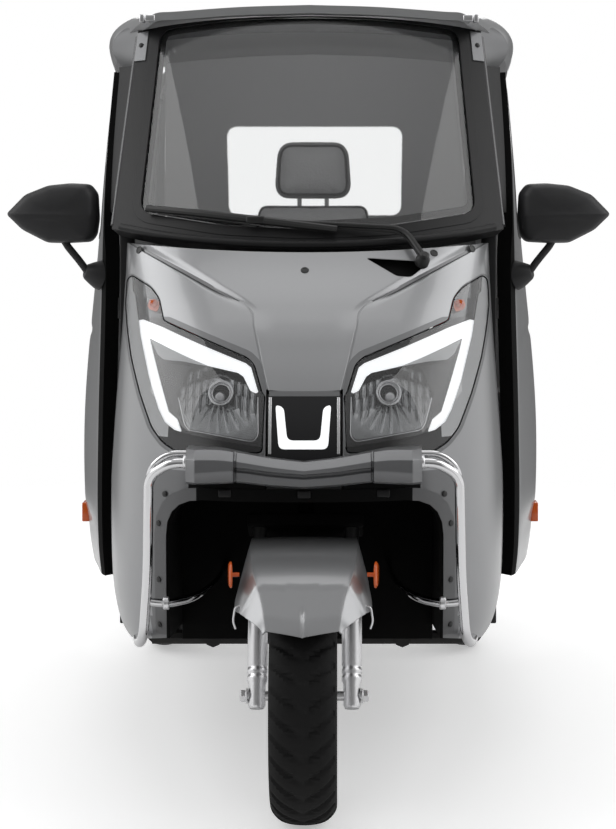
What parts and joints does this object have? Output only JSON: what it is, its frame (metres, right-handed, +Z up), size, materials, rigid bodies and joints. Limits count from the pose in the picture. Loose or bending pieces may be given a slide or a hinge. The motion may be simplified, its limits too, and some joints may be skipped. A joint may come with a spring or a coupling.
{
  "type": "enclosed three-wheel electric scooter",
  "caption": "Enclosed-cabin electric scooter with one steered front wheel, two driven rear wheels, side doors, windscreen, roof and rear boot.",
  "frame": {"origin": "middle of the vehicle's length and width, on the ground", "axes": "+Z up, +Y to the rear, so the scooter faces -Y; +X is its left side"},
  "size_m": [1.306, 2.27, 1.65],
  "materials": {
    "paint": "metallic gloss",
    "dark_paint": "satin metallic",
    "black_plastic": "satin",
    "black_metal": "satin",
    "chassis": "semi gloss",
    "chrome": "polished",
    "alloy": "satin",
    "tyre": "matt",
    "glazing": "tinted, clear",
    "lamp_lens": "clear over silver",
    "red_lens": "gloss",
    "upholstery": "stitched vinyl"
  },
  "bodies": {
    "body": {"arch_liner": "black_plastic", "battery": "chassis", "boot_tub": "black_plastic", "bumper_beam": "dark_paint", "crash_bar_left": "chrome", "crash_bar_right": "chrome", "dashboard": "black_plastic", "floor_tub": "black_plastic", "frame": "chassis", "front_panel_left": "paint", "front_panel_right": "paint", "headlamp_left": "lamp_lens", "headlamp_right": "lamp_lens", "headrest": "upholstery", "hood": "paint", "nose_panel": "black_plastic", "quarter_left": "paint", "quarter_right": "paint", "rear_axle": "chassis", "rear_bumper": "black_plastic", "rear_panel": "paint", "rear_window": "glazing", "rear_window_frame": "paint", "roof": "paint", "seat_back": "upholstery", "seat_base": "black_plastic", "seat_cushion": "upholstery", "tail_lamp_left": "red_lens", "tail_lamp_right": "red_lens", "windscreen": "glazing", "windscreen_frame": "black_plastic", "wiper": "black_metal"},
    "door_left": {"door_glass_left": "glazing", "door_left": "paint", "mirror_left": "black_plastic"},
    "door_right": {"door_glass_right": "glazing", "door_right": "paint", "mirror_right": "black_plastic"},
    "boot_lid": {"boot_lid": "paint"},
    "steering": {"fork": "alloy", "front_fender": "paint", "handlebar": "black_metal"},
    "front_wheel": {"front_wheel_rim": "alloy", "front_wheel_tyre": "tyre"},
    "rear_wheel_left": {"rear_wheel_left_rim": "alloy", "rear_wheel_left_tyre": "tyre"},
    "rear_wheel_right": {"rear_wheel_right_rim": "alloy", "rear_wheel_right_tyre": "tyre"}
  },
  "joints": [
    {"name": "steering", "type": "hinge", "parent": "body", "child": "steering", "pos_m": [0, -0.6207, 0.76], "axis": [0, 0.4067, 0.9135], "range_deg": [-35, 35]},
    {"name": "front_wheel_spin", "type": "hinge", "parent": "steering", "child": "front_wheel", "pos_m": [0, -0.899, 0.236], "axis": [1, 0, 0], "continuous": true},
    {"name": "rear_wheel_left_spin", "type": "hinge", "parent": "body", "child": "rear_wheel_left", "pos_m": [0.405, 0.651, 0.236], "axis": [1, 0, 0], "continuous": true},
    {"name": "rear_wheel_right_spin", "type": "hinge", "parent": "body", "child": "rear_wheel_right", "pos_m": [-0.405, 0.651, 0.236], "axis": [1, 0, 0], "continuous": true},
    {"name": "door_left_hinge", "type": "hinge", "parent": "body", "child": "door_left", "pos_m": [0.402, -0.441, 0.72], "axis": [0, 0, -1], "range_deg": [0, 70]},
    {"name": "door_right_hinge", "type": "hinge", "parent": "body", "child": "door_right", "pos_m": [-0.402, -0.441, 0.72], "axis": [0, 0, 1], "range_deg": [0, 70]},
    {"name": "boot_lid_hinge", "type": "hinge", "parent": "body", "child": "boot_lid", "pos_m": [0, 0.7885, 1.1095], "axis": [1, 0, 0], "range_deg": [0, 60]}
  ]
}
